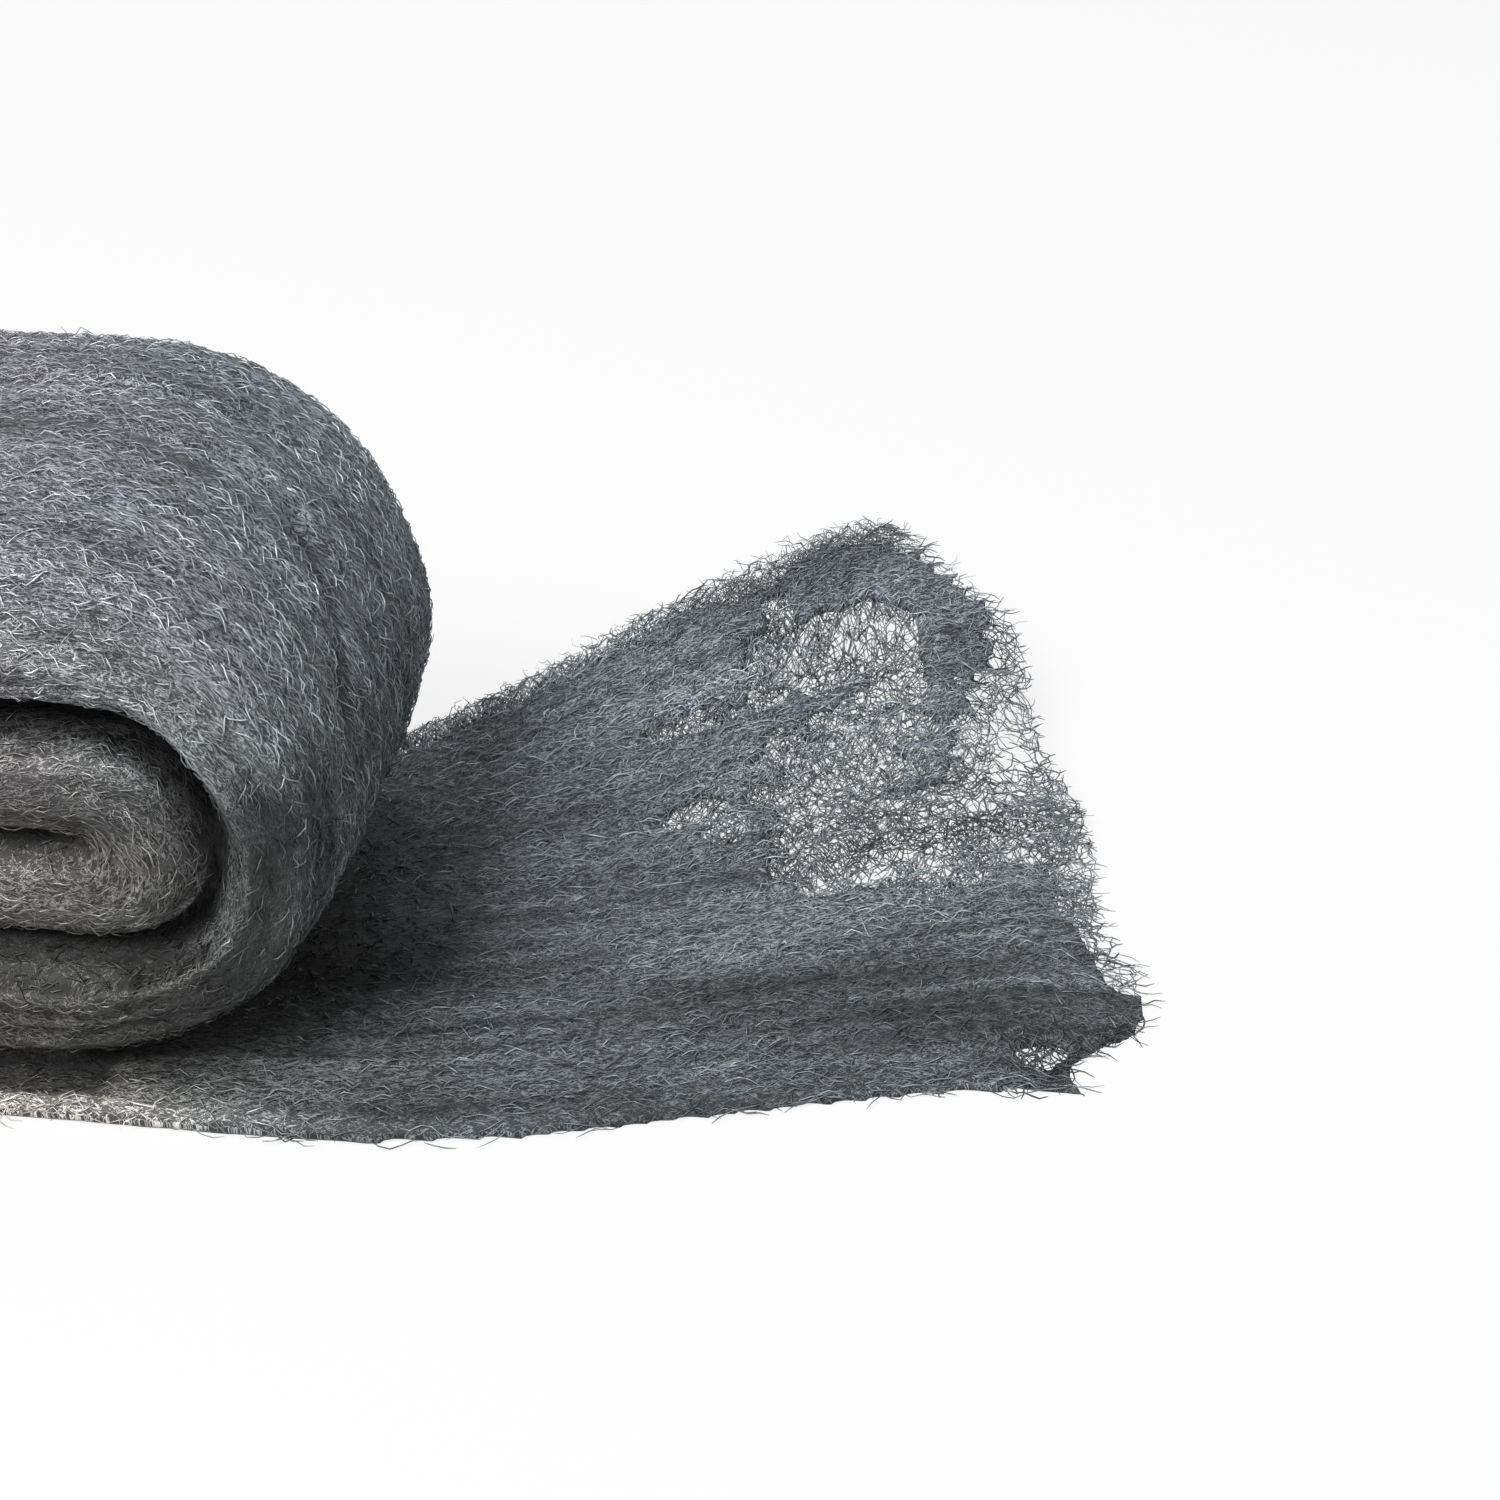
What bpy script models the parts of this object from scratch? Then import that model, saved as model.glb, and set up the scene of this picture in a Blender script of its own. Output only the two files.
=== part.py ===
"""A bundle of steel wool: one long soft ribbon, wound into a roll and left open at its outer end.

Metres, +Z up. The roll's axis lies along Y, and the roll stands on the bottom layer of its own
ribbon. From under the roll that layer runs out along +X as a flat tail. The tail fans out, its
far side lifts off the table, and it ends in a torn edge.
"""

import bmesh
import bpy
from math import cos, exp, pi, sin
from mathutils import Vector

# Roll
ROLL_HEIGHT = 0.125
ROLL_LENGTH = 0.110
SLIT_HALF = 0.0195
CORE_STRETCH = 0.0145
STRETCH_START = 0.75
STRETCH_END = 4.5
TURNS = 7
LAYER_GAP = 0.0010
SLIT_GAP = 0.0022
NEAR_RIM_DROP = 0.009
FAR_RIM_DROP = 0.0065
RIM_START = 0.55
BARREL = 0.003
TELESCOPE = 0.0012

# Crease between the roll's wall and its core
CREASE = 0.0035
CREASE_DROP = 0.007
CREASE_SHARE = 0.41
CREASE_SPREAD = 0.08
CREASE_TURN = 4
CORE_SHIFT_X = 0.0020
CORE_SHIFT_Z = -0.0012
CORE_BULGE = 0.0045
BULGE_SHARE = 0.22
SLIT_DROP = 0.0025
INNER_END = 0.8
SOFT_FILL = 0.55
CREASE_FILL = 0.85

# Tail
OVERHANG = 0.0045
NEAR_REACH = 0.224
FAR_REACH = 0.168
NEAR_SWING = 0.031
SWING_START = 0.3
FAR_SPREAD = 0.082
FAR_LIFT = 0.040
LIFT_START = 0.15
END_BULGE = 0.026
END_SKEW = 0.25
NOTCH_DEPTH = 0.010
NOTCH_PLACE = -0.88
END_RIPPLE = 0.0025
TAIL_THIN = 0.50
FAR_THIN = 0.35
FOLD_SWELL = 0.0014
FOLD_PLACE = 0.82
CLUMP_SWELL = 0.0012
CLUMP_PLACE = -0.62
FEATHER_START = 0.93
LUMP = 0.0005
LOCK = 0.0010
LOCK_PACE = 17.0
LOCK_WANDER = 0.045
END_LUMP = 0.0010
EDGE_RISE = 0.0008

# Mesh
ACROSS = 26
KEPT_RAIL = 4
OUTER_ARC_STEPS = 16
ARC_STEPS = 10
OUTER_FLAT_STEPS = 4
FLAT_STEPS = 2
TAIL_STEPS = 26

PITCH = (ROLL_HEIGHT / 2 + LAYER_GAP - SLIT_GAP / 2 - CREASE) / (TURNS + 0.5)
THICKNESS = PITCH - LAYER_GAP
ROLL_Z = ROLL_HEIGHT / 2 + PITCH / 4
OUTER_RADIUS = ROLL_Z - THICKNESS / 2


def smooth(x):
    """Eases from 0 to 1 as x goes from 0 to 1."""
    x = min(1.0, max(0.0, x))
    return x * x * (3 - 2 * x)


def bump(x, centre, width):
    return exp(-(((x - centre) / width) ** 2))


def across(j):
    """The place across the ribbon of point j: -1 at the near edge, 1 at the far edge."""
    return -cos(pi * j / ACROSS)


def edge_taper(v):
    """The thickness at v as a share of the ribbon's full thickness."""
    return max(0.0, 1 - abs(v) ** 14) ** 0.5


def end_drop(radius, rim_drop):
    """How far the ribbon's edge stands back from the roll's end, at this distance from the slit."""
    share = radius / OUTER_RADIUS
    rim = rim_drop * max(0.0, (share - RIM_START) / (1 - RIM_START)) ** 2.5
    crease = CREASE_DROP * bump(share, CREASE_SHARE, CREASE_SPREAD)
    core = -CORE_BULGE * bump(share, BULGE_SHARE, 0.12)
    slit = SLIT_DROP * bump(share, 0.0, 0.08)
    return rim + crease + core + slit


def in_core(turned):
    """0 in the roll's wall, 1 in its core."""
    return smooth(2 * (turned - CREASE_TURN))


def slit_half(turned):
    """Half the slit's length at this turn: the inner turns are flatter and wider than the outer ones."""
    share = (turned - STRETCH_START) / (STRETCH_END - STRETCH_START)
    return SLIT_HALF + CORE_STRETCH * min(1.0, max(0.0, share))


def locks(v, along):
    """The height of the long combed locks that lie side by side across the ribbon, from -1 to 1."""
    wander = 1.3 * sin(along / LOCK_WANDER)
    return sin(LOCK_PACE * v + wander) * (0.7 + 0.3 * sin(1.6 * along / LOCK_WANDER + 4 * v))


def winding():
    """The roll's stations from the bottom centre inwards, as (half turn, share of arc, place on slit)."""
    stations = []
    for half in range(2 * TURNS):
        side = -1 if half % 2 == 0 else 1
        first = 0.0 if half == 0 else -side
        flat_steps, arc_steps = (OUTER_FLAT_STEPS, OUTER_ARC_STEPS) if half < 2 else (FLAT_STEPS, ARC_STEPS)
        for step in range(flat_steps):
            place = first + (side - first) * step / flat_steps
            stations.append((half, 0.0, place))
        for step in range(arc_steps):
            stations.append((half, step / arc_steps, side))
    for step in range(FLAT_STEPS + 1):
        stations.append((2 * TURNS, 0.0, 1 - (1 + INNER_END) * step / FLAT_STEPS))
    return stations


def roll_row(half, arc, place):
    """Outer and inner points across the ribbon at one station of the roll."""
    turned = half / 2 + 0.5 * smooth(arc)
    inner = in_core(turned)
    radius = OUTER_RADIUS - PITCH * turned - CREASE * inner
    angle = pi * (half + arc)
    outward = Vector((-sin(angle), 0, -cos(angle)))
    shift = Vector((CORE_SHIFT_X, 0, CORE_SHIFT_Z))
    slit = slit_half(turned)
    centre = Vector((place * slit, 0, ROLL_Z)) + shift * inner + radius * outward
    squeeze_out = (slit - slit_half(turned - 1)) * abs(sin(angle)) / 2
    squeeze_in = (slit_half(turned + 1) - slit) * abs(sin(angle)) / 2
    wound = smooth(2 * turned)
    loose = (1 - wound) * OVERHANG + ROLL_LENGTH / 2
    near = loose - wound * (end_drop(radius, NEAR_RIM_DROP) - TELESCOPE * sin(2.4 * turned + 1))
    near += wound * END_LUMP * sin(6 * angle + 1) * (1 - inner)
    far = loose - wound * (end_drop(radius, FAR_RIM_DROP) - TELESCOPE * sin(3.1 * turned + 2))
    far += wound * END_LUMP * sin(5 * angle + 2) * (1 - inner)
    barrel = BARREL * wound * radius / OUTER_RADIUS
    crease_width = CREASE_FILL * (inner - in_core(turned - 1)) * (CREASE - outward.dot(shift))
    last = smooth(2 * (1 - place)) if half == 2 * TURNS else 0.0
    row = []
    for j in range(ACROSS + 1):
        v = across(j)
        y = (far - near) / 2 + v * (far + near) / 2
        half_thick = THICKNESS / 2 * edge_taper(v)
        lump = smooth(4 * turned) * smooth(8 * (0.9 - turned)) * (1 - v ** 4)
        lump *= LUMP + LOCK * locks(v, angle * OUTER_RADIUS + place * slit * (1 - 2 * (half % 2)))
        filled = smooth((SOFT_FILL + 0.25 - abs(v)) / 0.25)
        outer = half_thick * (1 - 2 * squeeze_out / THICKNESS) + lump + filled * crease_width
        inner_side = half_thick * (1 - 2 * squeeze_in / THICKNESS) + filled * last * (SLIT_GAP - LAYER_GAP)
        middle = centre + Vector((0, y, 0)) - outward * barrel * v ** 4
        if turned == 0:
            middle.z = half_thick + (EDGE_RISE if j in (0, ACROSS) else 0.0)
        row.append((middle + outward * outer, middle - outward * inner_side))
    return row


def tail_row(u):
    """Under and upper points across the tail, at share u of the way from the roll to the torn end."""
    near = Vector((u * NEAR_REACH, -ROLL_LENGTH / 2 - OVERHANG, 0))
    near.y += NEAR_SWING * smooth((u - SWING_START) / (1 - SWING_START))
    far = Vector((u * FAR_REACH, ROLL_LENGTH / 2 + OVERHANG, 0))
    far.y += FAR_SPREAD * u ** 1.3
    lift = FAR_LIFT * smooth((u - LIFT_START) / (1 - LIFT_START))
    feather = 1 - 0.85 * smooth((u - FEATHER_START) / (1 - FEATHER_START))
    row = []
    for j in range(ACROSS + 1):
        v = across(j)
        share = (v + 1) / 2
        point = near.lerp(far, share)
        torn = END_BULGE * (1 + END_SKEW * v) * (1 - abs(v) ** 5)
        torn -= NOTCH_DEPTH * bump(v, NOTCH_PLACE, 0.08)
        torn += END_RIPPLE * (1 - v ** 4) * sin(9 * v + 1)
        point.x += torn * u ** 3
        raised = max(0.0, (v + 0.2) / 1.2)
        point.z = lift * raised ** 1.7
        thick = THICKNESS * (1 - (1 - TAIL_THIN) * smooth(u)) * (1 - FAR_THIN * share * u)
        thick += FOLD_SWELL * bump(v, FOLD_PLACE, 0.16) * smooth((u - 0.4) / 0.4)
        thick += CLUMP_SWELL * bump(v, CLUMP_PLACE, 0.25) * smooth((u - 0.7) / 0.25)
        thick += LOCK * (1 - 0.4 * share * u) * smooth(6 * u) * (1 - v ** 4) * locks(v, -u * NEAR_REACH)
        thick *= edge_taper(v) * feather
        if j in (0, ACROSS):
            point.z += EDGE_RISE
        lean = -lift * 1.7 * raised ** 0.7 / 1.2 / ((far.y - near.y) / 2)
        up = Vector((0, lean, 1)).normalized()
        row.append((point, point + up * thick))
    return row


def ring_of(row):
    """One closed loop round the ribbon: along its under side, then back along its upper side."""
    under = [pair[0] for pair in row]
    upper = [pair[1] for pair in row[-2:0:-1]]
    return under + upper


def extruded(bm, ring, edges):
    """The loop that grows out of ring, in the same order, with its edges and the rails that join the two."""
    grown = bmesh.ops.extrude_edge_only(bm, edges=edges)["geom"]
    new = {item for item in grown if isinstance(item, bmesh.types.BMVert)}
    rails = [next(edge for edge in vert.link_edges if edge.other_vert(vert) in new) for vert in ring]
    grown_ring = [rail.other_vert(vert) for rail, vert in zip(rails, ring)]
    loop = [item for item in grown if isinstance(item, bmesh.types.BMEdge)]
    return grown_ring, [edge for edge in loop if new.issuperset(edge.verts)], rails


def hidden_rails(rails, under, upper):
    """The rails that no eye sees, apart from every fourth: on the ribbon's under or upper side, or on both."""
    hidden = []
    for k, rail in enumerate(rails):
        j = k if k <= ACROSS else 2 * ACROSS - k
        side = under if k <= ACROSS else upper
        if side and 3 < j < ACROSS - 3 and j % KEPT_RAIL:
            hidden.append(rail)
    return hidden


def close_end(bm, ring):
    """Fills the thin end of the ribbon between its under and upper sides."""
    for j in range(ACROSS):
        corners = [ring[j], ring[j + 1], ring[-j - 1], ring[-j]]
        unique = [vert for k, vert in enumerate(corners) if vert not in corners[:k]]
        bmesh.ops.contextual_create(bm, geom=unique)


def make_ribbon():
    rows = [(tail_row(1 - step / TAIL_STEPS), True, False) for step in range(TAIL_STEPS)]
    for station in winding():
        rows.append((roll_row(*station), station[0] >= 2, True))
    bm = bmesh.new()
    torn_ring = bmesh.ops.create_circle(bm, segments=2 * ACROSS, radius=1)["verts"]
    ring, edges, hidden = torn_ring, list(bm.edges), []
    for number, (row, under, upper) in enumerate(rows):
        if number:
            ring, edges, rails = extruded(bm, ring, edges)
            hidden += hidden_rails(rails, under, upper)
        for vert, place in zip(ring, ring_of(row)):
            vert.co = place
    close_end(bm, torn_ring)
    close_end(bm, ring)
    bmesh.ops.dissolve_edges(bm, edges=hidden, use_verts=True)
    bmesh.ops.recalc_face_normals(bm, faces=bm.faces)
    mesh = bpy.data.meshes.new("steel_wool_ribbon")
    bm.to_mesh(mesh)
    bm.free()
    mesh.shade_smooth()
    ribbon = bpy.data.objects.new("steel_wool_ribbon", mesh)
    bpy.context.scene.collection.objects.link(ribbon)
    return ribbon


def make_material():
    material = bpy.data.materials.new("steel_wool")
    material.use_nodes = True
    shader = material.node_tree.nodes["Principled BSDF"]
    shader.inputs["Base Color"].default_value = (0.10, 0.10, 0.11, 1)
    shader.inputs["Metallic"].default_value = 0.8
    shader.inputs["Roughness"].default_value = 0.6
    return material


def main():
    for old in list(bpy.data.objects):
        bpy.data.objects.remove(old)
    ribbon = make_ribbon()
    ribbon.data.materials.append(make_material())


main()
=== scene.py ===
"""Dresses the steel wool bundle: a dark matted core, combed fibres on it, loose ones at its edges."""

import math
import random

import bmesh
import bpy
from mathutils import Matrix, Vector, noise
from mathutils.bvhtree import BVHTree
from mathutils.kdtree import KDTree


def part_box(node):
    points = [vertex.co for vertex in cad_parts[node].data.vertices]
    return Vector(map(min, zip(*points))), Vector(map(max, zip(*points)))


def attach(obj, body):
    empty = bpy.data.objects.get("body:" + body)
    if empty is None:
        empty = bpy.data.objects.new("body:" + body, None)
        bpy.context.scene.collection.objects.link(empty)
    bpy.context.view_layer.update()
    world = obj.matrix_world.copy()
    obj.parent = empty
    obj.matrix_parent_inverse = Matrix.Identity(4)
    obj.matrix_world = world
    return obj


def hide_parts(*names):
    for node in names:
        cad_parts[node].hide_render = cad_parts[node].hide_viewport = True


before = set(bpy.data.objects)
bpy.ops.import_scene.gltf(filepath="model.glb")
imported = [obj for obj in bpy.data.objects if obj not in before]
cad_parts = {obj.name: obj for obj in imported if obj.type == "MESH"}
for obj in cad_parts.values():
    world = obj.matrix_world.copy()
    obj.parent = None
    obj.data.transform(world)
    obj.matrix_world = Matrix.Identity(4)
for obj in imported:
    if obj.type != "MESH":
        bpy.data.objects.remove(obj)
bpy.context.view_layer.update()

MM = 0.001
RIBBON = "steel_wool_ribbon"
UP = Vector((0, 0, 1))
AXIS = Vector((0, 1, 0))

# The roll, read from the frame: an oval, rounded off round a flat slit. The slit is longer for the
# core's turns than for the outermost ones, and changes over the wall's depth.
BOX_LOW, BOX_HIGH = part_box(RIBBON)
SLIT_HALF = 19.5 * MM
CORE_SLIT_HALF = 34 * MM
WALL_OUTSIDE = 55 * MM
WALL_DEPTH = 29 * MM
ROLL_Z = 0.511 * BOX_HIGH.z
ROLL_RADIUS = -BOX_LOW.x - SLIT_HALF
ROLL_HALF_LENGTH = 55 * MM
ROLL_FLAT_END = 50 * MM

# The core's soft lumps, one ring round the slit at each end of the roll
LUMP_RADIUS = 9.5 * MM
LUMP_AWAY = 11.8 * MM
LUMP_END = 49.8 * MM
LUMP_RISE = 2.0 * MM
LUMP_POINTS = 40

# The tail's edges, in m: half their distance at the roll, and how far each sweeps to +Y by which x
TAIL_HALF = 0.0595
NEAR_SWEEP, NEAR_X, NEAR_LENGTH = 0.031, 0.224, 0.157
FAR_SWEEP, FAR_X, FAR_POWER = 0.082, 0.168, 1.3
TAIL_WIDTH_MM = 150

# Thin places in the tail, where light comes through: x, y, half length, half width in mm, how thin
THIN_PLACES = (
    (168, 41, 20, 13, 0.56),
    (171, 106, 14, 10, 0.54),
    (204, 84, 13, 27, 0.44),
    (212, -17, 9, 5, 0.5),
)

# The rolled, denser band along the tail's far edge and round its far corner, in mm
FAR_BAND = (
    (83, 72), (105, 84), (128, 102), (155, 122), (169, 131), (180, 130), (189, 119), (190, 106)
)

# The felt's mesh, and the grid over the tail that the cutter for its thin parts is made from, in m
CUT_CELLS = (116, 108)
CUT_SIZE = (0.208, 0.194)
CUT_MIDDLE = (0.144, 0.061, -0.02)
CUT_HEIGHT = 0.1
FELT_VOXEL = 1.7 * MM
CRUMB_POINTS = 900

# Fibres. Real ones are 0.03 to 0.1 mm thick, too fine to show. They are drawn about 0.25 mm wide.
FIBRE_WIDTH = 0.25 * MM
SHORT_STEP = 1.5 * MM
SHORT_STEPS = 5
LONG_STEP = 2.2 * MM
LONG_STEPS = 5
FLOOR_CLEAR = 0.3 * MM
FULL_TURN = 6.3

# How many fibres there are of each kind, and how many at most go into one piece of the roll
OUTER_COUNT = 9600
END_COUNT = 4000
MATTED_COUNT = 2600
WEB_COUNT = 8900
LOOSE_COUNT = 350
FRINGE_COUNT = 1100
PIECE_COUNT = 4800

# Painted shade: how far off a thing still hides the sky, by how many rays, and what a web fibre gets
OPEN_REACH = 30 * MM
OPEN_RAYS = 14
GOLDEN_TURN = 2.4
WEB_OPENNESS = 0.74

# Sockets of the node that mixes colours
MIX_FACTOR, MIX_A, MIX_B, MIX_RESULT = 0, 6, 7, 2


def smooth(x):
    """Eases from 0 to 1 as x goes from 0 to 1."""
    x = min(1.0, max(0.0, x))
    return x * x * (3 - 2 * x)


# How the fibres lie

def from_slit(p):
    """The distance and direction from the roll's slit, and half the slit's length at that turn."""
    half = SLIT_HALF
    for _ in range(3):
        away = Vector((p.x - max(-half, min(half, p.x)), 0, p.z - ROLL_Z))
        inner = max(0.0, min(1.0, (WALL_OUTSIDE - away.length) / WALL_DEPTH))
        half = SLIT_HALF + (CORE_SLIT_HALF - SLIT_HALF) * inner
    return away.length, away.normalized() if away.length > 1e-9 else UP, half


def on_roll(p):
    """Whether p belongs to the roll, and not to the tail beside it or under it."""
    distance, away, _ = from_slit(p)
    if p.x <= 0:
        return True
    edge = ROLL_RADIUS - 4.6 * MM + 2.0 * MM * (1 + away.z)
    in_core = distance < 30 * MM
    return distance < edge and (in_core or abs(p.y) < ROLL_HALF_LENGTH + 2.5 * MM)


def tail_edges(x):
    """The tail's near and far edge at x, as y and slope."""
    near_share = min(1.0, max(0.0, (x / NEAR_X - 0.3) / 0.7))
    near_slope = NEAR_SWEEP * 6 * near_share * (1 - near_share) / NEAR_LENGTH
    far_share = max(0.0, x) / FAR_X
    far_slope = FAR_SWEEP * FAR_POWER / FAR_X * far_share ** 0.3
    near = (-TAIL_HALF + NEAR_SWEEP * smooth(near_share), near_slope)
    far = (TAIL_HALF + FAR_SWEEP * far_share ** FAR_POWER, far_slope)
    return near, far


def share_across(x, y):
    """The place across the tail: 0 on its near edge, 1 on its far edge."""
    near, far = tail_edges(x)
    return (y - near[0]) / (far[0] - near[0])


def fan_angle(x, y):
    """How far the tail's fibres turn from +X towards +Y."""
    near, far = tail_edges(x)
    share = max(0.0, min(1.0, share_across(x, y)))
    return math.atan(near[1] + share * (far[1] - near[1]))


def flow(p):
    """The direction that the fibres are combed in: round the roll, and outwards along the tail."""
    if on_roll(p):
        return AXIS.cross(from_slit(p)[1])
    angle = fan_angle(p.x, p.y)
    return Vector((math.cos(angle), math.sin(angle), 0))


def fibre_place(p, turn_near):
    """Millimetres along and across the fibres at p. On the roll, its angle stays near turn_near."""
    if not on_roll(p):
        return -p.x / MM, TAIL_WIDTH_MM * share_across(p.x, p.y) - TAIL_WIDTH_MM / 2
    distance, away, half = from_slit(p)
    turn = math.atan2(-away.x, -away.z)
    turn += 2 * math.pi * round((turn_near - turn) / (2 * math.pi))
    flat = -max(-half, min(half, p.x)) * (1 if away.z < 0 else -1)
    side_share = 0.35 + 0.65 * smooth((distance - 46 * MM) / (10 * MM))
    inwards = ROLL_RADIUS - distance + side_share * (abs(p.y) - ROLL_FLAT_END)
    across = math.copysign(ROLL_FLAT_END + inwards, p.y)
    return (turn * distance + flat) / MM, across / MM


def cover(x, y):
    """How much of the table the tail hides at x, y: 1 where it is dense, less where it is thin."""
    x, y = x / MM, y / MM
    # Thinner towards the far side of the open end
    hidden = 1 - 0.36 * smooth((x - 88) / 62) * smooth((y - 20) / 32)
    # A fringe of loose fibres along the far edge
    far_edge = tail_edges(x * MM)[1][0] / MM
    fringe = 17 - 5 * smooth((x - 60) / 50)
    hidden -= 0.85 * smooth((y - far_edge + fringe) / 11) * smooth((x - 30) / 20)
    for thin_x, thin_y, half_x, half_y, amount in THIN_PLACES:
        reach = math.hypot((x - thin_x) / half_x, (y - thin_y) / half_y)
        hidden -= amount * (1 - smooth(reach / 1.3))
    gap = min(math.hypot(x - a, y - b) for a, b in FAR_BAND)
    hidden += 0.8 * (1 - smooth((gap - 5) / 9))
    # Ragged along the fibres
    across = TAIL_WIDTH_MM * share_across(x * MM, y * MM)
    long_rag = noise.noise(Vector((x / 20, across / 8, 0)))
    short_rag = noise.noise(Vector((x / 8, across / 3, 5)))
    ragged = 0.3 * long_rag + 0.35 * short_rag
    hidden += ragged * smooth(4 * (1 - hidden))
    return max(0.0, min(1.0, hidden))


# Meshes

def new_object(name, mesh):
    """A new object with the mesh, curve, light or camera, in the scene."""
    made = bpy.data.objects.new(name, mesh)
    bpy.context.scene.collection.objects.link(made)
    return made


def finished_mesh(bm, name):
    """A new mesh from bm, which is freed."""
    mesh = bpy.data.meshes.new(name)
    bm.to_mesh(mesh)
    bm.free()
    return mesh


def baked_mesh(obj, name):
    """The object's mesh with its modifiers or curve bevel worked in. The object is removed."""
    graph = bpy.context.evaluated_depsgraph_get()
    mesh = bpy.data.meshes.new_from_object(obj.evaluated_get(graph))
    mesh.name = name
    bpy.data.objects.remove(obj)
    return mesh


def surface_tree(mesh):
    """A search tree of the mesh's faces."""
    return BVHTree.FromPolygons([v.co for v in mesh.vertices], [f.vertices for f in mesh.polygons])


def ribbon_copy(name):
    """A merged copy of the CAD ribbon's mesh."""
    bm = bmesh.new()
    bm.from_mesh(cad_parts[RIBBON].data)
    bmesh.ops.remove_doubles(bm, verts=bm.verts, dist=0.001 * MM)
    return finished_mesh(bm, name)


def pulled_apart(x, y):
    """Whether the felt has parted at x, y. Where thin, it parts in streaks along the fibres."""
    streak = noise.noise(Vector((x / MM / 15, 50 * share_across(x, y), 9)))
    tuft = noise.noise(Vector((x / MM / 5, 75 * share_across(x, y), 14)))
    return cover(x, y) < 0.74 + 0.3 * streak + 0.24 * tuft


def thin_parts():
    """An upright cutter for the places so thin that only a web of fibres is left."""
    bm = bmesh.new()
    bmesh.ops.create_grid(bm, x_segments=CUT_CELLS[0], y_segments=CUT_CELLS[1], size=0.5)
    bmesh.ops.scale(bm, verts=bm.verts, vec=(*CUT_SIZE, 1))
    bmesh.ops.translate(bm, verts=bm.verts, vec=CUT_MIDDLE)
    dense = [face for face in bm.faces if not pulled_apart(*face.calc_center_median().xy)]
    bmesh.ops.delete(bm, geom=dense, context="FACES")
    # Faces that touch at a corner alone would leave the cutter open there
    corners = True
    while corners:
        corners = [
            v.link_faces[0] for v in bm.verts if len(v.link_faces) == 2 and len(v.link_edges) == 4
        ]
        bmesh.ops.delete(bm, geom=list(set(corners)), context="FACES")
    for _ in range(2):
        bmesh.ops.smooth_vert(bm, verts=bm.verts, factor=0.5, use_axis_x=True, use_axis_y=True)
    grown = bmesh.ops.extrude_face_region(bm, geom=bm.faces[:])["geom"]
    top = [item for item in grown if isinstance(item, bmesh.types.BMVert)]
    bmesh.ops.translate(bm, verts=top, vec=(0, 0, CUT_HEIGHT))
    bmesh.ops.recalc_face_normals(bm, faces=bm.faces)
    return new_object("thin_parts", finished_mesh(bm, "thin_parts"))


def core_lumps():
    """The soft lumps that the core's turns mat into, round the slit at the roll's two ends."""
    curve = bpy.data.curves.new("core_lumps", "CURVE")
    curve.dimensions = "3D"
    curve.bevel_depth = LUMP_RADIUS
    curve.bevel_resolution = 3
    for end in (-1, 1):
        spline = curve.splines.new("POLY")
        spline.points.add(LUMP_POINTS - 1)
        for k, point in enumerate(spline.points):
            turn = 2 * math.pi * (k + 0.5) / LUMP_POINTS
            x = LUMP_AWAY * math.cos(turn) + math.copysign(CORE_SLIT_HALF, math.cos(turn))
            z = ROLL_Z + LUMP_RISE + LUMP_AWAY * math.sin(turn)
            point.co = (x, end * LUMP_END, z, 1)
        spline.use_cyclic_u = True
    return baked_mesh(new_object("core_lumps", curve), "core_lumps")


def matted_core():
    """The body of the roll and tail: the ribbon with its turns felted together and clumped."""
    rough = new_object("matted_core", ribbon_copy("matted_core"))
    cutter = thin_parts()
    cut = rough.modifiers.new("thin part", "BOOLEAN")
    cut.operation = "DIFFERENCE"
    cut.object = cutter
    cut.solver = "EXACT"
    torn = baked_mesh(rough, "torn_ribbon")
    bpy.data.objects.remove(cutter)
    lumps = core_lumps()
    bm = bmesh.new()
    bm.from_mesh(torn)
    bm.from_mesh(lumps)
    bm.to_mesh(torn)
    bm.free()
    bpy.data.meshes.remove(lumps)
    rough = new_object("matted_core", torn)
    felt = rough.modifiers.new("felt", "REMESH")
    felt.mode = "VOXEL"
    felt.voxel_size = FELT_VOXEL
    soften = rough.modifiers.new("soften", "SMOOTH")
    soften.factor = 0.5
    soften.iterations = 6
    mesh = baked_mesh(rough, "matted_core")
    core = new_object("matted_core", mesh)
    drop_crumbs(mesh)
    clump(mesh)
    map_fibres(mesh)
    mesh.shade_smooth()
    return core


def drop_crumbs(mesh):
    """Takes out the loose crumbs that the cutter leaves in the thin places."""
    bm = bmesh.new()
    bm.from_mesh(mesh)
    left = set(bm.verts)
    while left:
        island, front = set(), [next(iter(left))]
        while front:
            vert = front.pop()
            if vert in island:
                continue
            island.add(vert)
            front += [edge.other_vert(vert) for edge in vert.link_edges]
        left -= island
        if len(island) < CRUMB_POINTS:
            bmesh.ops.delete(bm, geom=list(island), context="VERTS")
    bm.to_mesh(mesh)
    bm.free()


def groove(p):
    """Depth in mm of the two deep combed grooves: down the roll's right side, and on its top."""
    x, y, z = p.x / MM, p.y / MM, p.z / MM
    right = abs(y + 28 - 0.857 * (z - 71)) / 2.6
    right_end = smooth((z - 58) / 14) * smooth((112 - z) / 14) * smooth((x - 55) / 8)
    top = abs(y + 23 + 0.12 * (x - 20)) / 2.2
    top_end = smooth((x + 6) / 12) * smooth((46 - x) / 14) * smooth((z - 108) / 8)
    return 3.6 * math.exp(-right * right) * right_end + 2.6 * math.exp(-top * top) * top_end


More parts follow.
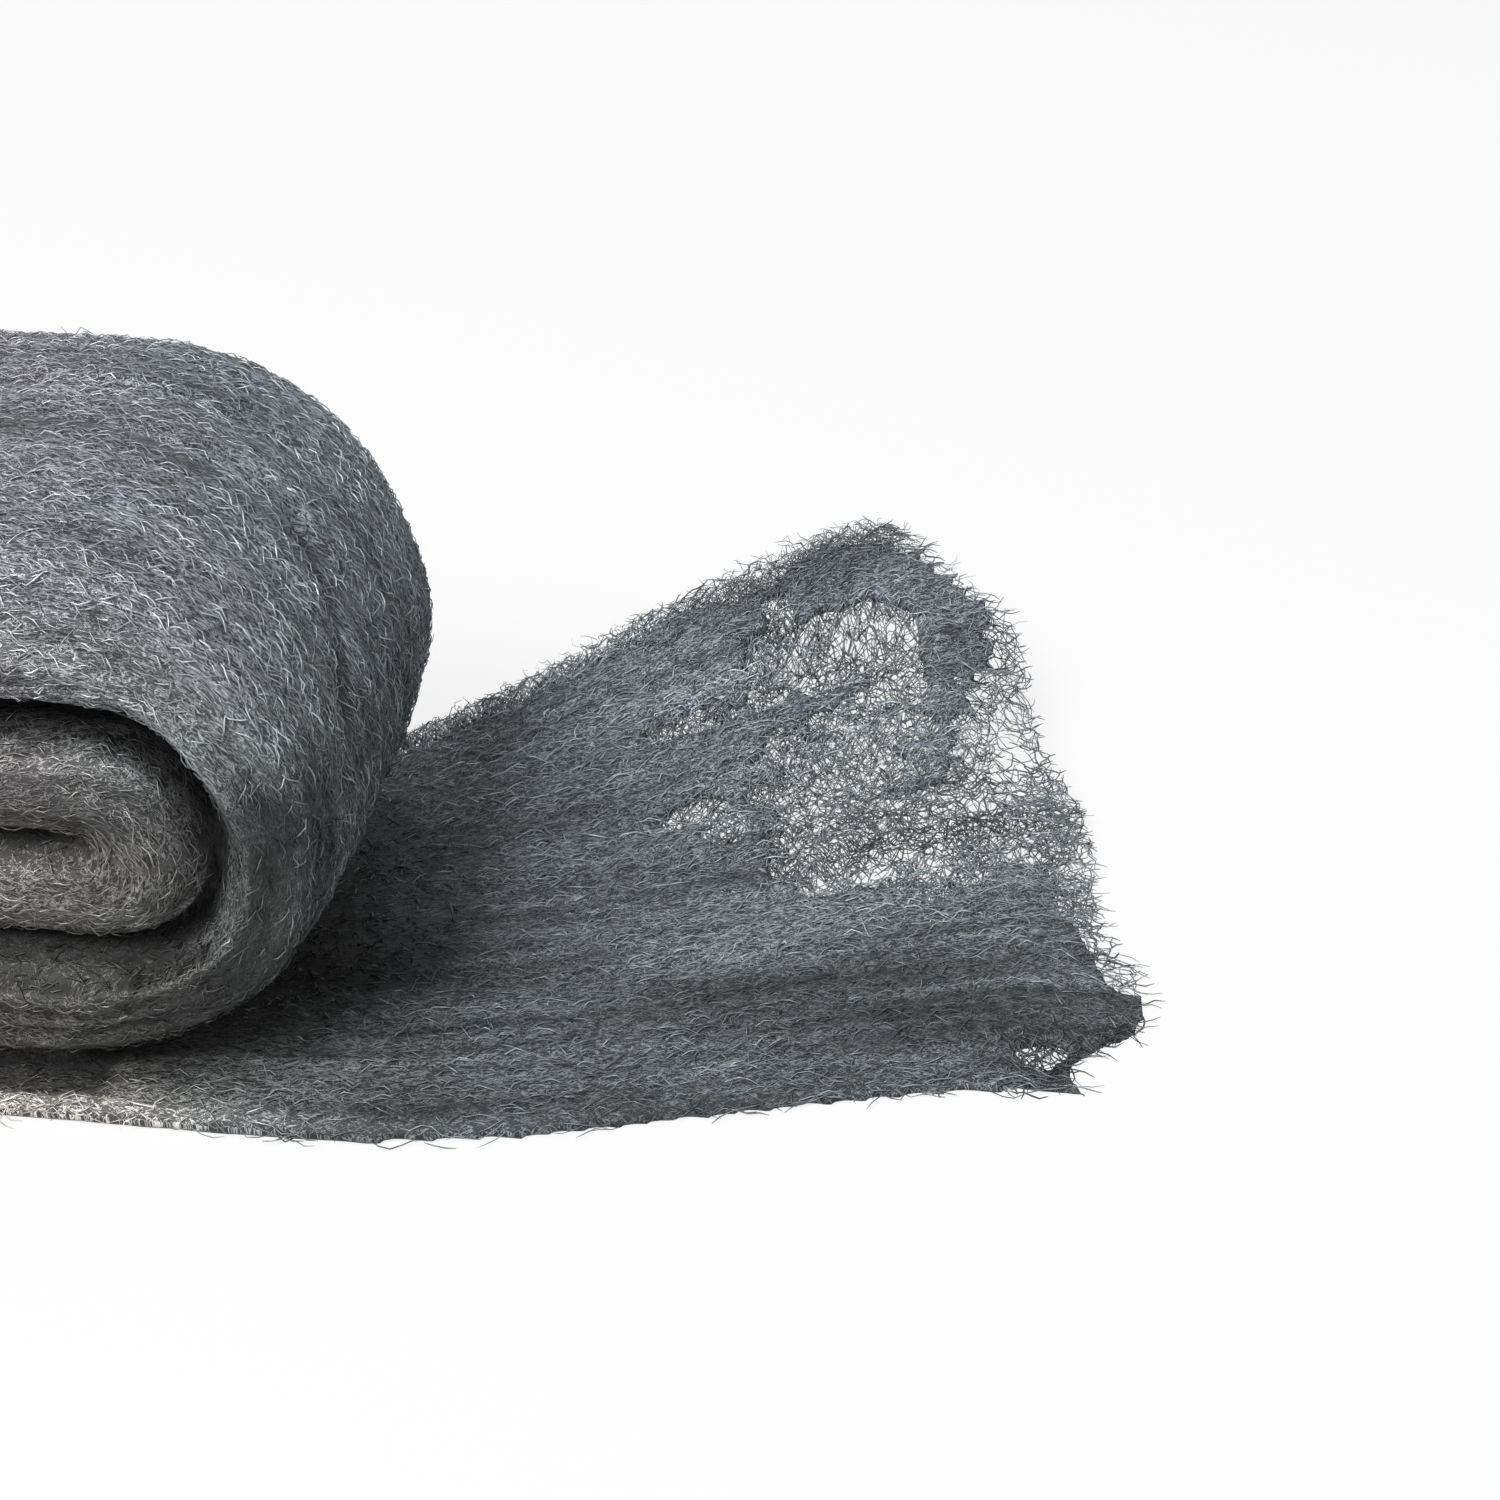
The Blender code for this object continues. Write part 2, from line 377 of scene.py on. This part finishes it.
def end_crease(p):
    """Depth in mm of the creases in the roll's ends: round the core, and along its slit."""
    if abs(p.y) < 38 * MM:
        return 0.0
    distance, away, _ = from_slit(p - UP * LUMP_RISE)
    distance, x = distance / MM, p.x / MM
    middle, half = 25.3 + 0.4 * away.z, 4.4 - 0.6 * away.z
    around = math.exp(-((distance - middle) / half) ** 2)
    depth = 8.6 + 0.4 * away.z - 4.5 * smooth((x - 52) / 8) * smooth(0.6 - away.z)
    slit = math.exp(-(distance / 1.6) ** 2) * (1 - smooth((abs(x) - 22) / 16))
    return depth * around + 6.0 * slit


def clump(mesh):
    """Raises and sinks the core in long clumps that follow the fibres."""
    moves = []
    for vert in mesh.vertices:
        along, across = fibre_place(vert.co, 0)
        lock = 1 - 2 * abs(noise.noise(Vector((along / 60, across / 8, 3))))
        lump = noise.noise(Vector((along / 24, across / 5, 8)))
        tuft = noise.noise(Vector((along / 7, across / 2.5, 8)))
        height = 0.45 * lock + 0.45 * lump + 0.35 * tuft - 0.55 - groove(vert.co)
        if not on_roll(vert.co):
            height *= 0.7
        inwards = Vector((0, -vert.normal.y, 0))
        moves.append(vert.normal * height * MM + inwards * end_crease(vert.co) * MM)
    for vert, move in zip(mesh.vertices, moves):
        vert.co += move
        vert.co.z = max(vert.co.z, 0)


def map_fibres(mesh):
    """Gives the core a UV map in millimetres along and across the fibres."""
    layer = mesh.uv_layers.new(name="fibre_mm")
    for face in mesh.polygons:
        away = from_slit(face.center)[1]
        turn = math.atan2(-away.x, -away.z)
        for loop in face.loop_indices:
            place = mesh.vertices[mesh.loops[loop].vertex_index].co
            layer.uv[loop].vector = fibre_place(place, turn)


# How light the wool is painted: its tone, and painted light and shade

def roll_painted_light(p, front):
    """Painted light and shade that the roll adds at p. front is 1 on the end facing the camera."""
    x, z, inner = p.x / MM, p.z / MM, from_slit(p)[0] / MM
    right = smooth((x - 42) / 18)
    # Painted light towards the top and on the right shoulder, painted shade low down
    light = 0.1 + 0.48 * front * smooth((z - 72) / 20) - 0.4 * smooth((66 - z) / 50)
    light += 0.26 * (1 - front) * right * smooth((z - 70) / 20)
    # Painted shade on the front end's wall, right of the core and below it
    wall = smooth((x - 30) / 14) * smooth((inner - 22) / 3)
    light -= front * wall * smooth((84 - z) / 15) * (0.18 + 0.28 * smooth((z - 45) / 15))
    below = smooth((55 - z) / 8) * smooth((inner - 19) / 3) * (1 - smooth((inner - 26) / 11))
    light -= 0.45 * front * below
    # Painted shade on the rim above the crease, and on the core's upper lump
    above = smooth((z - 82) / 10) * smooth((112 - z) / 10)
    light -= 0.6 * front * above * smooth((14 - x) / 20)
    light -= front * smooth((28 - inner) / 6) * (0.02 + 0.36 * smooth((z - 66) / 10))
    return light


def tail_painted_light(p, front):
    """Painted light and shade that the tail adds at p. front is 1 along its near edge."""
    x, y = p.x / MM, p.y / MM
    # Painted light on the near edge beside the roll, painted shade farther along it
    light = 1.35 * front * smooth((90 - x) / 60) - 0.18 * smooth((20 - y) / 30)
    light -= 0.2 * front * smooth((x - 105) / 30)
    # Painted light on the far side, and painted shadow where the roll's shadow lies
    light += 0.26 * smooth(y / 30) * smooth((130 - x) / 40) + 0.12 * smooth((y - 50) / 30)
    light -= 0.3 * smooth((97 - x) / 15) * smooth((y + 25) / 20) * smooth((50 - y) / 15)
    return light


def tone_and_painted_light(p):
    """The wool's tone at p in long streaks along the fibres, and its painted light and shade."""
    along, across = fibre_place(p, 0)
    light = 0.72 + 0.42 * noise.noise(Vector((along / 42, across / 3.2, 20)))
    light += 0.4 * noise.noise(Vector((along / 110, across / 13, 30)))
    # Painted shade in a patch by the torn end
    torn_end_shade = math.hypot((p.x / MM - 195) / 50, (p.y / MM + 18) / 26)
    light -= 0.2 * (1 - smooth(torn_end_shade / 1.4))
    front = smooth((-25 - p.y / MM) / 20)
    # The painted light and shade of the roll, and of the tail
    light += roll_painted_light(p, front) if on_roll(p) else tail_painted_light(p, front)
    return max(0.2, light)


def painted_table_light(p):
    """Painted light where the felt is thin at p, standing for the pale table shining through."""
    if on_roll(p) or p.x < 35 * MM:
        return 0.0
    return 0.42 * smooth((0.95 - cover(p.x, p.y)) / 0.5)


def openness(mesh, tree):
    """Share of the sky that each point of the core sees past what lies near, for painted shade."""
    sky = []
    for k in range(OPEN_RAYS):
        rise = 1 - (k + 0.5) / OPEN_RAYS
        turn = GOLDEN_TURN * k
        flat = math.sqrt(1 - rise)
        sky.append(Vector((flat * math.cos(turn), flat * math.sin(turn), math.sqrt(rise))))
    seen = []
    for vert in mesh.vertices:
        to_surface = vert.normal.to_track_quat("Z", "X")
        start = vert.co + vert.normal * 1.2 * MM
        hits = [tree.ray_cast(start, to_surface @ ray, OPEN_REACH)[0] for ray in sky]
        seen.append(1 - sum(hit is not None for hit in hits) / len(sky))
    return seen


def store_light(mesh, sky, shade):
    """Keeps each point's openness and the wool's tone and painted light and shade for the material.
    """
    for name, values in (("openness", sky), ("tone_and_painted_light", shade)):
        layer = mesh.attributes.new(name, "FLOAT", "POINT")
        layer.data.foreach_set("value", values)


# Fibres

def surface_points(mesh, count, rng, wanted):
    """Random points on the faces. wanted gives how densely they lie at a place with a normal."""
    areas, total = [], 0.0
    for face in mesh.polygons:
        total += face.area * wanted(face.center, face.normal)
        areas.append(total)
    points, index = [], 0
    for pick in sorted(rng.random() * total for _ in range(count)):
        while areas[index] < pick:
            index += 1
        corners = [mesh.vertices[k].co for k in mesh.polygons[index].vertices]
        weights = [rng.random() for _ in corners]
        points.append(sum((c * w for c, w in zip(corners, weights)), Vector()) / sum(weights))
    rng.shuffle(points)
    return points


def curl(rng):
    """A crimp along a fibre: a function of the step that gives a sideways and an upward share."""
    side_turn, lift_turn = rng.uniform(1.1, 2.1), rng.uniform(0.9, 1.9)
    side_start, lift_start = rng.uniform(0, FULL_TURN), rng.uniform(0, FULL_TURN)
    size = rng.uniform(0.4, 1.1)
    return lambda k: (
        size * math.sin(side_start + side_turn * k), math.sin(lift_start + lift_turn * k)
    )


def combed_fibre(start, tree, rng, lift, stray):
    """One crimped fibre on the surface. lift is its height range, stray how far it turns off."""
    swerve = rng.gauss(0, stray)
    bend = rng.gauss(0, 0.05)
    heading = 1 if rng.random() < 0.5 else -1
    crimp = curl(rng)
    low, high = lift
    place = start
    path = []
    for step in range(SHORT_STEPS + 1):
        hit, normal, _, gap = tree.find_nearest(place)
        if gap > 1.0 * MM:
            break
        along = flow(hit) * heading
        along = (along - normal * along.dot(normal)).normalized()
        side = normal.cross(along)
        sideways, upward = crimp(step)
        height = low + (high - low) * (0.5 + 0.5 * upward)
        path.append(hit + normal * height + side * sideways * 0.6 * MM)
        swerve += bend + rng.gauss(0, 0.12)
        place = hit + (along * math.cos(swerve) + side * math.sin(swerve)) * SHORT_STEP
    return path


def tail_span(tree, x, y):
    """The heights of the tail's under and upper side at x, y, or None beside it."""
    under = tree.ray_cast(Vector((x, y, -0.01)), UP)[0]
    upper = under and tree.ray_cast(under + UP * 0.05 * MM, UP)[0]
    return (under.z, upper.z) if upper else None


def tail_fibre(x, y, tree, rng, share, stray, overhang=1, wander=0.14, pace=LONG_STEP):
    """One fibre in the tail's thickness.

    share is its height range there, stray how far it turns off, overhang how many steps it may
    stick out by, wander how much it turns at each step.
    """
    stray *= 1 + smooth((x - 0.17) / 0.04)
    heading = 1 if rng.random() < 0.5 else -1
    swerve = rng.gauss(0, stray)
    bend = rng.gauss(0, 0.06)
    crimp = curl(rng)
    low, high = share
    span = tail_span(tree, x, y)
    slope = 0.0
    outside = 0
    path = []
    for step in range(LONG_STEPS + 1):
        angle = fan_angle(x, y) + swerve
        found = tail_span(tree, x, y)
        if found is None or span is None or abs(found[0] - span[0]) > 4 * MM:
            outside += 1
            slope += rng.gauss(0, 0.4) * MM
            swerve += rng.gauss(0, 2.2 * wander)
            if outside > overhang or span is None:
                break
        else:
            span = found
        sideways, upward = crimp(step)
        z = span[0] + (span[1] - span[0]) * (low + (high - low) * (0.5 + 0.5 * upward)) + slope
        offset = sideways * 0.75 * MM
        path.append(Vector((x - math.sin(angle) * offset, y + math.cos(angle) * offset, z)))
        x += heading * math.cos(angle) * pace
        y += heading * math.sin(angle) * pace
        swerve += bend + rng.gauss(0, wander)
    return path


def fibre_section():
    """The three-sided section of a steel shaving."""
    curve = bpy.data.curves.new("fibre_section", "CURVE")
    spline = curve.splines.new("POLY")
    spline.points.add(2)
    # A triangle whose side is the fibre's width reaches 0.577 of it from the middle
    reach = FIBRE_WIDTH * 0.577
    for k, point in enumerate(spline.points):
        angle = 2 * math.pi * k / 3
        point.co = (reach * math.cos(angle), reach * math.sin(angle), 0, 1)
    spline.use_cyclic_u = True
    return new_object("fibre_section", curve)


def volume(mesh):
    """The mesh's volume, below 0 where its faces look inwards."""
    bm = bmesh.new()
    bm.from_mesh(mesh)
    amount = bm.calc_volume(signed=True)
    bm.free()
    return amount


def stands_for_ribbon(piece):
    """Lets the piece ride the root body in place of the CAD ribbon."""
    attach(piece, "root")
    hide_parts(RIBBON)


def fibres(name, paths, rng, material, light_at=None, girth=1.0):
    """All the fibres along the paths as one mesh of closed three-sided strands.

    light_at gives the openness and shade that the core has there. Without it, the fibres belong to
    the thin web or the fringe, which have no core beside them.
    """
    curve = bpy.data.curves.new(name, "CURVE")
    curve.dimensions = "3D"
    curve.bevel_mode = "OBJECT"
    section = fibre_section()
    curve.bevel_object = section
    curve.use_fill_caps = True
    for path in paths:
        if len(path) < 3:
            continue
        spline = curve.splines.new("POLY")
        last = len(path) - 1
        spline.points.add(last)
        width = girth * rng.uniform(0.7, 1.35)
        tilt = rng.random() * FULL_TURN
        for k, (point, place) in enumerate(zip(spline.points, path)):
            point.co = (place.x, place.y, max(place.z, FLOOR_CLEAR), 1)
            point.radius = width * (0.45 if k in (0, last) else 1.0)
            point.tilt = tilt + 0.5 * k
    mesh = baked_mesh(new_object(name, curve), name)
    bpy.data.objects.remove(section)
    made = new_object(name, mesh)
    if volume(mesh) < 0:
        mesh.flip_normals()
    mesh.shade_smooth()
    # Web and fringe fibres get a set openness and their own painted light and shade
    light_at = light_at or (lambda place: (WEB_OPENNESS, tone_and_painted_light(place)))
    seen = [light_at(vert.co) for vert in mesh.vertices]
    store_light(mesh, [sky for sky, _ in seen], [shade for _, shade in seen])
    mesh.materials.clear()
    mesh.materials.append(material)
    stands_for_ribbon(made)


# Materials

def colour(hex_value):
    """The linear colour of an sRGB hex value."""
    parts = [int(hex_value[k:k + 2], 16) / 255 for k in (1, 3, 5)]
    return [c / 12.92 if c <= 0.04045 else ((c + 0.055) / 1.055) ** 2.4 for c in parts] + [1]


def add_node(tree, kind, settings=None, inputs=None):
    """A new node with its properties set and its inputs set or linked."""
    node = tree.nodes.new(kind)
    for key, value in (settings or {}).items():
        setattr(node, key, value)
    for key, value in (inputs or {}).items():
        if isinstance(value, bpy.types.NodeSocket):
            tree.links.new(value, node.inputs[key])
        else:
            node.inputs[key].default_value = value
    return node


def ramp(tree, value, stops):
    """The colour that the value has on a ramp of positions and hex values."""
    node = add_node(tree, "ShaderNodeValToRGB", inputs={"Fac": value})
    elements = node.color_ramp.elements
    elements[0].position, elements[0].color = stops[0][0], colour(stops[0][1])
    elements[1].position, elements[1].color = stops[-1][0], colour(stops[-1][1])
    for position, shade in stops[1:-1]:
        elements.new(position).color = colour(shade)
    return node.outputs["Color"]


def empty_material(name):
    """A new material with its node tree and its shader."""
    material = bpy.data.materials.new(name)
    material.use_nodes = True
    tree = material.node_tree
    return material, tree, tree.nodes["Principled BSDF"]


def ribbon_tints(tree):
    """The tints: blue-green on the open ribbon from the oil film, and brown low on the roll's front.
    """
    place = add_node(tree, "ShaderNodeTexCoord").outputs["Object"]
    # Patches about 40 mm across
    patch = add_node(
        tree, "ShaderNodeTexNoise", inputs={"Vector": place, "Scale": 25.0, "Detail": 2.0}
    )
    lean = add_node(
        tree, "ShaderNodeVectorMath", {"operation": "DOT_PRODUCT"}, {0: place, 1: (9.0, 2.0, 0.0)}
    )
    open_part = add_node(
        tree, "ShaderNodeMath", {"operation": "ADD"},
        {0: lean.outputs["Value"], 1: patch.outputs["Fac"]},
    )
    low_front = add_node(
        tree, "ShaderNodeVectorMath", {"operation": "DISTANCE"}, {0: place, 1: (0.02, -0.06, 0.035)}
    )
    cool = ramp(tree, open_part.outputs[0], [(0.55, "#ffffff"), (1.0, "#f4ffff")])
    brown = ramp(tree, low_front.outputs["Value"], [(0.03, "#fff9ea"), (0.09, "#ffffff")])
    return [cool, brown]


def wool_colour(tree, shade):
    """The shade under the oil film, with painted shade in the folds and the wool's painted light."""
    sky = add_node(tree, "ShaderNodeAttribute", {"attribute_name": "openness"}).outputs["Fac"]
    # Painted shade: darker where a point sees little of the sky
    painted_fold_shade = ramp(tree, sky, [(0.12, "#242424"), (0.5, "#8c8c8c"), (0.85, "#ffffff")])
    for layer in [*ribbon_tints(tree), painted_fold_shade]:
        shade = add_node(
            tree, "ShaderNodeMix", {"data_type": "RGBA", "blend_type": "MULTIPLY"},
            {MIX_FACTOR: 1.0, MIX_A: shade, MIX_B: layer},
        ).outputs[MIX_RESULT]
    # Scaled by the wool's tone and its painted light and shade
    light = add_node(tree, "ShaderNodeAttribute", {"attribute_name": "tone_and_painted_light"}).outputs["Fac"]
    return add_node(
        tree, "ShaderNodeVectorMath", {"operation": "SCALE"}, {"Vector": shade, "Scale": light}
    ).outputs[0]


def shaved_steel():
    """Low-carbon steel shaved off wire: bright ragged edges under a thin dark oil film.

    To the eye each fibre is a grey metal thread, and some catch the light much more than others.
    """
    material, tree, shader = empty_material("shaved_steel_fibre")
    island = add_node(tree, "ShaderNodeNewGeometry").outputs["Random Per Island"]
    greys = [(0.0, "#7b7b81"), (0.5, "#a4a4ab"), (0.85, "#c4c4cb"), (1.0, "#dcdce1")]
    shade = wool_colour(tree, ramp(tree, island, greys))
    tree.links.new(shade, shader.inputs["Base Color"])
    shader.inputs["Metallic"].default_value = 0.5
    shader.inputs["Roughness"].default_value = 0.42
    return material


def hair_lines(tree, uv, turn, seed, across_mm, along_mm):
    """Fine curly lines along the fibres, as the contour lines of a stretched noise."""
    scale = (along_mm, across_mm, 1)
    turned = add_node(
        tree, "ShaderNodeMapping", {"vector_type": "TEXTURE"},
        {"Vector": uv, "Rotation": (0, 0, turn), "Scale": scale, "Location": (seed, seed, 0)},
    )
    field = add_node(
        tree, "ShaderNodeTexNoise", {"noise_dimensions": "2D"},
        {"Vector": turned.outputs[0], "Scale": 1.0, "Detail": 3.0, "Roughness": 0.6,
         "Distortion": 0.4},
    )
    centred = add_node(
        tree, "ShaderNodeMath", {"operation": "SUBTRACT"}, {0: field.outputs["Fac"], 1: 0.5}
    )
    distance = add_node(
        tree, "ShaderNodeMath", {"operation": "ABSOLUTE"}, {0: centred.outputs[0]}
    )
    line = add_node(
        tree, "ShaderNodeMapRange", {"interpolation_type": "SMOOTHSTEP"},
        {"Value": distance.outputs[0], "From Min": 0.0, "From Max": 0.035, "To Min": 1.0,
         "To Max": 0.0},
    )
    return line.outputs[0]


def felted_steel():
    """The inside of the mat: the same steel fibres, so deep that little light comes back.

    To the eye it is near black, crossed by fine curly grey threads.
    """
    material, tree, shader = empty_material("felted_steel_wool")
    uv = add_node(tree, "ShaderNodeUVMap", {"uv_map": "fibre_mm"}).outputs[0]
    lines = hair_lines(tree, uv, 0.0, 0.0, 1.1, 5.0)
    for turn, seed, across_mm, along_mm in ((0.35, 31.0, 1.0, 5.0), (-0.4, 57.0, 1.1, 6.0)):
        other = hair_lines(tree, uv, turn, seed, across_mm, along_mm)
        lines = add_node(
            tree, "ShaderNodeMath", {"operation": "MAXIMUM"}, {0: lines, 1: other}
        ).outputs[0]
    greys = [(0.0, "#333337"), (0.5, "#717177"), (1.0, "#c8c8cf")]
    shade = wool_colour(tree, ramp(tree, lines, greys))
    tree.links.new(shade, shader.inputs["Base Color"])
    bump = add_node(
        tree, "ShaderNodeBump", inputs={"Height": lines, "Strength": 0.6, "Distance": 0.3 * MM}
    )
    tree.links.new(bump.outputs[0], shader.inputs["Normal"])
    shader.inputs["Metallic"].default_value = 0.1
    shader.inputs["Roughness"].default_value = 0.6
    return material


def seen_rays(tree):
    """1 for a ray that shows the background: the camera's, or one mirrored or let through."""
    rays = add_node(tree, "ShaderNodeLightPath").outputs
    seen = rays["Is Camera Ray"]
    for kind in ("Is Glossy Ray", "Is Transmission Ray"):
        seen = add_node(
            tree, "ShaderNodeMath", {"operation": "MAXIMUM"}, {0: seen, 1: rays[kind]}
        ).outputs[0]
    return seen


def pale_floor():
    """Matt white card: an even white ground that still takes a soft shadow."""
    material, tree, shader = empty_material("matt_white_card")
    seen = seen_rays(tree)
    card = add_node(
        tree, "ShaderNodeMix", {"data_type": "RGBA"},
        {MIX_FACTOR: seen, MIX_A: colour("#a4a4a4"), MIX_B: colour("#f4f4f4")},
    )
    tree.links.new(card.outputs[MIX_RESULT], shader.inputs["Base Color"])
    shader.inputs["Roughness"].default_value = 0.9
    shader.inputs["Specular IOR Level"].default_value = 0.1
    white = add_node(tree, "ShaderNodeEmission", inputs={"Strength": 1.0})
    share = add_node(tree, "ShaderNodeMath", {"operation": "MULTIPLY"}, {0: seen, 1: 0.84})
    mixed = add_node(
        tree, "ShaderNodeMixShader",
        inputs={0: share.outputs[0], 1: shader.outputs[0], 2: white.outputs[0]},
    )
    tree.links.new(mixed.outputs[0], tree.nodes["Material Output"].inputs["Surface"])
    return material


# Parts of the scene

def exposed(tree, place, normal):
    """1 on an open face, less in a narrow crease."""
    hit = tree.ray_cast(place + normal * 0.4 * MM, normal, 8 * MM)[0]
    return 1.0 if hit is None else 0.12


def dress_roll(core, tree, steel, light_at):
    """Short combed fibres all over the roll: round it, and on its ends."""
    rng = random.Random(11)

    def on_end(normal):
        return abs(normal.y) > 0.6

    def outer(place, normal):
        if not on_roll(place) or place.z < 1.5 * MM or on_end(normal):
            return 0.0
        return exposed(tree, place, normal)

    def ends(place, normal):
        return exposed(tree, place, normal) if on_roll(place) and on_end(normal) else 0.0

    kinds = (("roll_outer_fibres", outer, OUTER_COUNT), ("roll_end_fibres", ends, END_COUNT))
    for name, wanted, count in kinds:
        starts = surface_points(core.data, count, rng, wanted)
        paths = [combed_fibre(p, tree, rng, (-0.5 * MM, 0.65 * MM), 0.30) for p in starts]
        for part, first in enumerate(range(0, count, PIECE_COUNT), 1):
            fibres(f"{name}_{part}", paths[first:first + PIECE_COUNT], rng, steel, light_at)


def dress_tail(tree, steel, light_at):
    """Combed fibres on the tail where it is dense, and the open web where it is thin."""
    rng = random.Random(23)
    matted, web = [], []
    while len(matted) < MATTED_COUNT:
        x, y = rng.uniform(-0.01, 0.235), rng.uniform(-0.062, 0.145)
        under_roll = x < 0.06 and abs(y) < 0.05
        if under_roll or cover(x, y) < 0.7:
            continue
        share = (0.72, 1.15) if rng.random() < 0.85 else (-0.05, 0.7)
        path = tail_fibre(x, y, tree, rng, share, 0.24, overhang=2)
        if len(path) > 3:
            matted.append(path)
    while len(web) < WEB_COUNT:
        x, y = rng.uniform(0.035, 0.24), rng.uniform(-0.03, 0.148)
        hidden = cover(x, y)
        in_felt = smooth((hidden - 0.78) / 0.16)
        if rng.random() > (0.08 + 0.92 * hidden) * (1 - 0.8 * in_felt):
            continue
        path = tail_fibre(x, y, tree, rng, (0.0, 1.1), 0.7, wander=0.38, pace=1.6 * MM)
        if len(path) > 3:
            web.append(path)
    fibres("tail_fibres", matted, rng, steel, light_at)
    fibres("tail_web_fibres_1", web[::2], rng, steel, girth=1.15)
    fibres("tail_web_fibres_2", web[1::2], rng, steel, girth=1.15)


def dress_edges(core, ribbon_tree, core_tree, steel, light_at):
    """Loose fibres that stand off the surface, most of them along the tail's far edge."""
    rng = random.Random(37)

    def off_floor(place, normal):
        return 0.0 if place.z < 2 * MM else exposed(core_tree, place, normal)

    loose, fringe = [], []
    for place in surface_points(core.data, LOOSE_COUNT, rng, off_floor):
        lift = (-0.2 * MM, rng.uniform(1.0, 2.6) * MM)
        loose.append(combed_fibre(place, core_tree, rng, lift, 0.6))
    fibres("loose_fibres", loose, rng, steel, light_at)
    while len(fringe) < FRINGE_COUNT:
        x = 0.035 + 0.14 * rng.random()
        y = tail_edges(x)[1][0] - 11 * MM * math.sqrt(rng.random())
        path = tail_fibre(
            x, y, ribbon_tree, rng, (-0.1, 1.2), 1.3, overhang=3, wander=0.5, pace=1.4 * MM
        )
        if len(path) > 3:
            fringe.append(path)
    fibres("fringe_fibres", fringe, rng, steel, girth=0.7)


def add_light(name, place, target, size, power):
    """A round lamp at the place, turned to the target."""
    lamp = bpy.data.lights.new(name, "AREA")
    lamp.shape = "DISK"
    lamp.size = size
    lamp.energy = power
    holder = new_object(name, lamp)
    holder.location = place
    aim = Vector(target) - Vector(place)
    holder.rotation_euler = aim.to_track_quat("-Z", "Y").to_euler()


def studio():
    """A pale floor and sky, and one soft lamp from the front left."""
    bm = bmesh.new()
    bmesh.ops.create_grid(bm, x_segments=1, y_segments=1, size=4)
    mesh = finished_mesh(bm, "floor")
    mesh.materials.append(pale_floor())
    new_object("floor", mesh)

    world = bpy.data.worlds.new("studio")
    bpy.context.scene.world = world
    world.use_nodes = True
    tree = world.node_tree
    background = tree.nodes["Background"]
    background.inputs["Color"].default_value = (1, 1, 1, 1)
    level = add_node(
        tree, "ShaderNodeMapRange", inputs={"Value": seen_rays(tree), "To Min": 0.2, "To Max": 1.0}
    )
    tree.links.new(level.outputs[0], background.inputs["Strength"])
    add_light("key", (-0.7, -1.3, 2.05), (0.05, 0, 0.05), 1.3, 70.0)


def camera():
    """The photograph's view: 33 degrees above the table, with a 57.6 mm lens on a 36 mm frame."""
    lens = bpy.data.cameras.new("camera")
    lens.sensor_width = 36
    lens.lens = 57.6
    lens.clip_start = 0.01
    holder = new_object("camera", lens)
    holder.location = (0.1967, -0.3986, 0.3208)
    holder.rotation_euler = (math.radians(90 - 33), 0, math.radians(6.5))
    bpy.context.scene.camera = holder


def main():
    bpy.context.scene.view_settings.view_transform = "Standard"
    camera()
    studio()
    steel = shaved_steel()
    core = matted_core()
    core.data.materials.clear()
    core.data.materials.append(felted_steel())
    stands_for_ribbon(core)
    ribbon = ribbon_copy("ribbon_surface")
    ribbon_tree, core_tree = surface_tree(ribbon), surface_tree(core.data)
    bpy.data.meshes.remove(ribbon)
    open_shares = openness(core.data, core_tree)
    # The wool's tone and painted light and shade, with painted light where the felt is thin
    shades = [tone_and_painted_light(vert.co) + painted_table_light(vert.co) for vert in core.data.vertices]
    store_light(core.data, open_shares, shades)
    nearby = KDTree(len(open_shares))
    for vert in core.data.vertices:
        nearby.insert(vert.co, vert.index)
    nearby.balance()

    def light_at(place):
        index = nearby.find(place)[1]
        return open_shares[index], shades[index]

    dress_roll(core, core_tree, steel, light_at)
    dress_tail(ribbon_tree, steel, light_at)
    dress_edges(core, ribbon_tree, core_tree, steel, light_at)


main()
